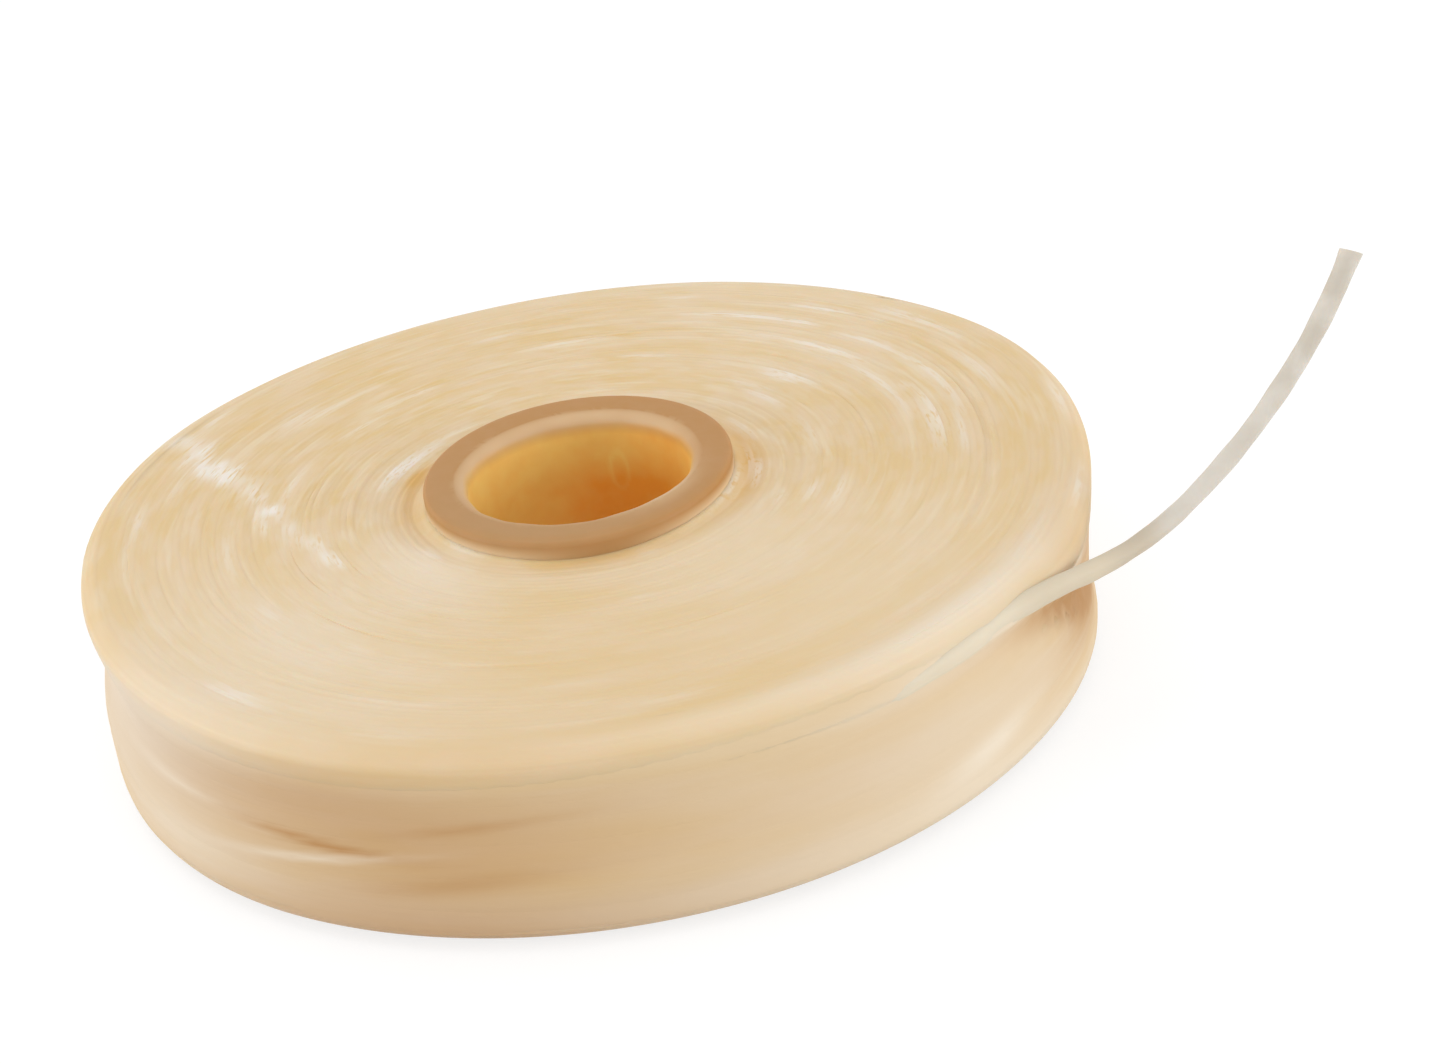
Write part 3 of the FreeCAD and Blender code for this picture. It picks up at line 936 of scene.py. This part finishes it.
def round_the_axis(nodes, links, along, across):
    """A coordinate that changes slowly round the axis and quickly across the turns."""
    place = nodes.new("ShaderNodeTexCoord").outputs["Object"]
    split = nodes.new("ShaderNodeSeparateXYZ")
    links.new(place, split.inputs[0])
    x, y, z = split.outputs
    squares = [math_node(nodes, links, "MULTIPLY", axis, axis) for axis in (x, y)]
    distance = math_node(nodes, links, "SQRT",
                         math_node(nodes, links, "ADD", squares[0], squares[1]))
    joined = nodes.new("ShaderNodeCombineXYZ")
    for socket, axis in zip(joined.inputs, (x, y)):
        unit = math_node(nodes, links, "DIVIDE", axis, distance)
        links.new(math_node(nodes, links, "MULTIPLY", unit, along), socket)
    height = math_node(nodes, links, "ADD", distance, z)
    links.new(math_node(nodes, links, "MULTIPLY", height, across), joined.inputs[2])
    return joined.outputs[0]


def noise(nodes, links, vector, scale, detail):
    node = nodes.new("ShaderNodeTexNoise")
    node.inputs["Scale"].default_value = scale
    node.inputs["Detail"].default_value = detail
    links.new(vector, node.inputs["Vector"])
    return node.outputs["Fac"]


def ramp(nodes, links, value, low, high, most=1.0):
    """0 below low, most above high and smooth in between."""
    node = nodes.new("ShaderNodeMapRange")
    node.interpolation_type = "SMOOTHSTEP"
    node.inputs["From Min"].default_value = low
    node.inputs["From Max"].default_value = high
    node.inputs["To Max"].default_value = most
    links.new(value, node.inputs["Value"])
    return node.outputs["Result"]


def bump(nodes, links, height, strength, distance):
    node = nodes.new("ShaderNodeBump")
    node.inputs["Strength"].default_value = strength
    node.inputs["Distance"].default_value = distance
    links.new(height, node.inputs["Height"])
    return node.outputs["Normal"]


def soften(shader, weight, depth, colours):
    """Lets light go into the surface: to this depth, and further for the first colours."""
    shader.inputs["Subsurface Weight"].default_value = weight
    shader.inputs["Subsurface Scale"].default_value = depth
    shader.inputs["Subsurface Radius"].default_value = colours


# %% Waxed line
LINE_YELLOW = (0.75, 0.54, 0.262)
LINE_PINK = (0.775, 0.59, 0.37)
LINE_STREAK = (0.81, 0.66, 0.45)
LINE_GROOVE_SHADE = (0.62, 0.41, 0.20)
LINE_ROSE_AND_SHADE = (0.67, 0.545, 0.425)
LINE_BROWN_SHADE = (0.50, 0.265, 0.095)
LINE_PALE_AND_LIT = (0.86, 0.755, 0.61)
LINE_WHITE_AND_SHEEN = (0.87, 0.80, 0.71)
LINE_GLOW_AND_SHADE = (0.70, 0.42, 0.13)


def waxed_line(name, subsurface):
    material, nodes, links = new_material(name)
    shader = shader_of(nodes)
    broad = noise(nodes, links, round_the_axis(nodes, links, 2.2, 700), 1, 2)
    blotch = noise(nodes, links, round_the_axis(nodes, links, 8, 1900), 1, 2)
    long = noise(nodes, links, round_the_axis(nodes, links, 3.5, 2600), 1, 2)
    fine = noise(nodes, links, round_the_axis(nodes, links, 16, 9000), 1, 3)
    crisp = read_number(nodes, "crisp")

    blotch = math_node(nodes, links, "ADD", ramp(nodes, links, blotch, 0.38, 0.62, 0.5), -0.25)
    blotch = math_node(nodes, links, "MULTIPLY_ADD", blotch, crisp, 0.25)
    pink = math_node(nodes, links, "ADD", ramp(nodes, links, broad, 0.38, 0.62, 0.5), blotch)
    colour = mix_colour(nodes, links, pink, LINE_YELLOW, LINE_PINK)
    streak = math_node(nodes, links, "MULTIPLY", ramp(nodes, links, long, 0.5, 0.74, 0.7), crisp)
    colour = mix_colour(nodes, links, streak, colour, LINE_STREAK)
    # painted shade in the grooves
    groove_shade = math_node(nodes, links, "MULTIPLY", read_number(nodes, "groove_shade"), math_node(
        nodes, links, "MULTIPLY", crisp, 0.1))
    colour = mix_colour(nodes, links, groove_shade, colour, LINE_GROOVE_SHADE)
    # these mix in pinker wax and painted shade, painted shade, paler wax and painted light, and a
    # painted glow from the core, in this order
    for name, shade in (("rose_and_shade", LINE_ROSE_AND_SHADE), ("brown_shade", LINE_BROWN_SHADE), ("pale_and_lit", LINE_PALE_AND_LIT),
                        ("glow_and_shade", LINE_GLOW_AND_SHADE)):
        colour = mix_colour(nodes, links, read_number(nodes, name), colour, shade)
    # whiter crossovers and streaks: paler wax and a painted sheen
    dashes = ramp(nodes, links, fine, 0.3, 0.5)
    white_and_sheen = math_node(nodes, links, "MULTIPLY", read_number(nodes, "wax_white_and_sheen"), dashes)
    clear = math_node(nodes, links, "MULTIPLY_ADD", crisp, 0.7, 0.3)
    white_and_sheen = math_node(nodes, links, "MULTIPLY", white_and_sheen, clear)
    colour = mix_colour(nodes, links, white_and_sheen, colour, LINE_WHITE_AND_SHEEN)
    links.new(colour, shader.inputs["Base Color"])
    rough = math_node(nodes, links, "MULTIPLY_ADD", long, 0.3, 0.4)
    links.new(rough, shader.inputs["Roughness"])
    shader.inputs["Specular IOR Level"].default_value = 0.3
    soften(shader, subsurface, 0.6 * MM, (1.0, 0.5, 0.25))
    links.new(bump(nodes, links, fine, 0.3, 0.02 * MM), shader.inputs["Normal"])
    return material


# %% Free line
FREE_MAIN = (0.60, 0.55, 0.47)
FREE_PALE = (0.69, 0.645, 0.575)
FREE_SHADE = (0.57, 0.49, 0.375)
FREE_WARM = (0.665, 0.575, 0.43)
FREE_HELD = (0.755, 0.66, 0.505)


def free_line():
    material, nodes, links = new_material("free_line")
    shader = shader_of(nodes)
    place = nodes.new("ShaderNodeTexCoord").outputs["Object"]
    patches = noise(nodes, links, place, 900, 3)
    split = nodes.new("ShaderNodeSeparateXYZ")
    links.new(place, split.inputs[0])
    outwards = split.outputs[0]
    colour = mix_colour(nodes, links, ramp(nodes, links, patches, 0.35, 0.7), FREE_MAIN, FREE_PALE)
    # from the air towards the spool, by the distance to the right
    for far, near, most, shade in ((23.5, 20.5, 0.55, FREE_PALE), (19.2, 17.7, 1.0, FREE_SHADE),
                                   (17.6, 16.0, 1.0, FREE_WARM), (14.4, 12.6, 1.0, FREE_HELD)):
        share = ramp(nodes, links, outwards, far * MM, near * MM, most)
        colour = mix_colour(nodes, links, share, colour, shade)
    links.new(colour, shader.inputs["Base Color"])
    shader.inputs["Roughness"].default_value = 0.6
    soften(shader, 0.25, 0.4 * MM, (1.0, 0.7, 0.45))
    links.new(bump(nodes, links, patches, 0.4, 0.05 * MM), shader.inputs["Normal"])
    return material


# %% Core plastic
CORE_RIM = (0.485, 0.246, 0.077)
CORE_RIM_NEAR = (0.465, 0.26, 0.10)
CORE_RIM_PALE = (0.50, 0.27, 0.11)
CORE_WALL_GLOW = (0.80, 0.61, 0.39)
CORE_LIP_HIGHLIGHT = (0.70, 0.50, 0.295)
CORE_BORE_GLOW = (0.95, 0.67, 0.20)
CORE_DEEP_SHADE = (0.87, 0.375, 0.05)


def core_plastic():
    material, nodes, links = new_material("core_plastic")
    shader = shader_of(nodes)
    place = nodes.new("ShaderNodeTexCoord").outputs["Object"]
    grain = noise(nodes, links, place, 1500, 3)
    colour = mix_colour(nodes, links, read_number(nodes, "near"), CORE_RIM, CORE_RIM_NEAR)
    colour = mix_colour(nodes, links, ramp(nodes, links, grain, 0.35, 0.7, 0.4), colour,
                        CORE_RIM_PALE)
    # painted glow on the outer wall
    colour = mix_colour(nodes, links, read_number(nodes, "wall"), colour, CORE_WALL_GLOW)
    # painted highlight on the lip
    colour = mix_colour(nodes, links, read_number(nodes, "lip_highlight"), colour, CORE_LIP_HIGHLIGHT)
    # the bore: a painted glow of the light through the wall, with painted shade deeper down
    mottled = math_node(nodes, links, "MULTIPLY_ADD", grain, 0.5, -0.25)
    deep_shade = math_node(nodes, links, "ADD", read_number(nodes, "deep_shade"), mottled)
    inside = mix_colour(nodes, links, deep_shade, CORE_BORE_GLOW, CORE_DEEP_SHADE)
    colour = mix_colour(nodes, links, read_number(nodes, "bore"), colour, inside)
    links.new(colour, shader.inputs["Base Color"])
    shader.inputs["Roughness"].default_value = 0.5
    shader.inputs["Specular IOR Level"].default_value = 0.3
    soften(shader, 0.3, 0.6 * MM, (1.0, 0.6, 0.35))
    links.new(bump(nodes, links, grain, 0.1, 0.02 * MM), shader.inputs["Normal"])
    return material


# %% Giving each piece its finish and its place on the object
layer_finish = waxed_line("waxed_layers", 0.25)
finishes = [
    (upper_layers, layer_finish, "waxed_line", "wound_pack"),
    (lower_layers, layer_finish, "waxed_line", "wound_pack"),
    (outer_turns, waxed_line("waxed_turns", 0), "waxed_line", "outer_turns"),
    (line_end, free_line(), "free_line", "line_end"),
    (spool_core, core_plastic(), "core_plastic", "core_tube"),
]
for piece, material, slot, node_replaced in finishes:
    piece.data.materials.clear()
    piece.data.materials.append(material)
    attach(piece, "root")
    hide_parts(node_replaced)

# %% [markdown]
# ## Studio
# A pale table, a soft lamp overhead and one from each side. The camera sees the table as plain
# white with a faint shadow. For the light that it throws back onto the spool it stays a real table.

# %% Table
deselect_all()
bpy.ops.mesh.primitive_plane_add(size=1.6)
table = bpy.context.object
table.name = "studio_table"


def seen_directly(nodes, links):
    """1 for what the camera sees itself, or by a reflection or through something clear."""
    path = nodes.new("ShaderNodeLightPath")
    mirrored = math_node(nodes, links, "MAXIMUM", path.outputs["Is Glossy Ray"],
                         path.outputs["Is Transmission Ray"])
    return math_node(nodes, links, "MAXIMUM", path.outputs["Is Camera Ray"], mirrored)


TABLE_BOUNCE = (0.85, 0.84, 0.82)
TABLE_SEEN = (0.30, 0.30, 0.30)
TABLE_FILL = 0.76


def table_material():
    material, nodes, links = new_material("studio_table")
    shader = shader_of(nodes)
    shader.inputs["Roughness"].default_value = 1.0
    shader.inputs["Specular IOR Level"].default_value = 0.0
    seen = seen_directly(nodes, links)
    links.new(mix_colour(nodes, links, seen, TABLE_BOUNCE, TABLE_SEEN), shader.inputs["Base Color"])
    shader.inputs["Emission Color"].default_value = (1, 1, 1, 1)
    links.new(math_node(nodes, links, "MULTIPLY", seen, TABLE_FILL),
              shader.inputs["Emission Strength"])
    return material


table.data.materials.append(table_material())

# %% Lamps and sky
def lamp(name, place, size, power):
    deselect_all()
    bpy.ops.object.light_add(type="AREA", location=place)
    light = bpy.context.object
    light.name = name
    light.data.shape = "DISK"
    light.data.size = size
    light.data.energy = power
    towards = Vector((0, 0, TOP / 2)) - Vector(place)
    light.rotation_euler = towards.to_track_quat("-Z", "Y").to_euler()


lamp("overhead", (-0.05, 0.02, 0.26), 0.20, 0.13)
lamp("left_side", (-0.25, -0.05, 0.05), 0.12, 0.18)
lamp("right_side", (0.24, -0.11, 0.05), 0.12, 0.22)

AMBIENT = 0.72
world = bpy.data.worlds.new("studio")
bpy.context.scene.world = world
world.use_nodes = True
nodes, links = world.node_tree.nodes, world.node_tree.links
background = next(node for node in nodes if node.type == "BACKGROUND")
strength = math_node(nodes, links, "ADD", AMBIENT, math_node(
    nodes, links, "MULTIPLY", seen_directly(nodes, links), 1 - AMBIENT))
links.new(strength, background.inputs["Strength"])
background.inputs["Color"].default_value = (1, 1, 1, 1)
bpy.context.scene.view_settings.view_transform = "Standard"
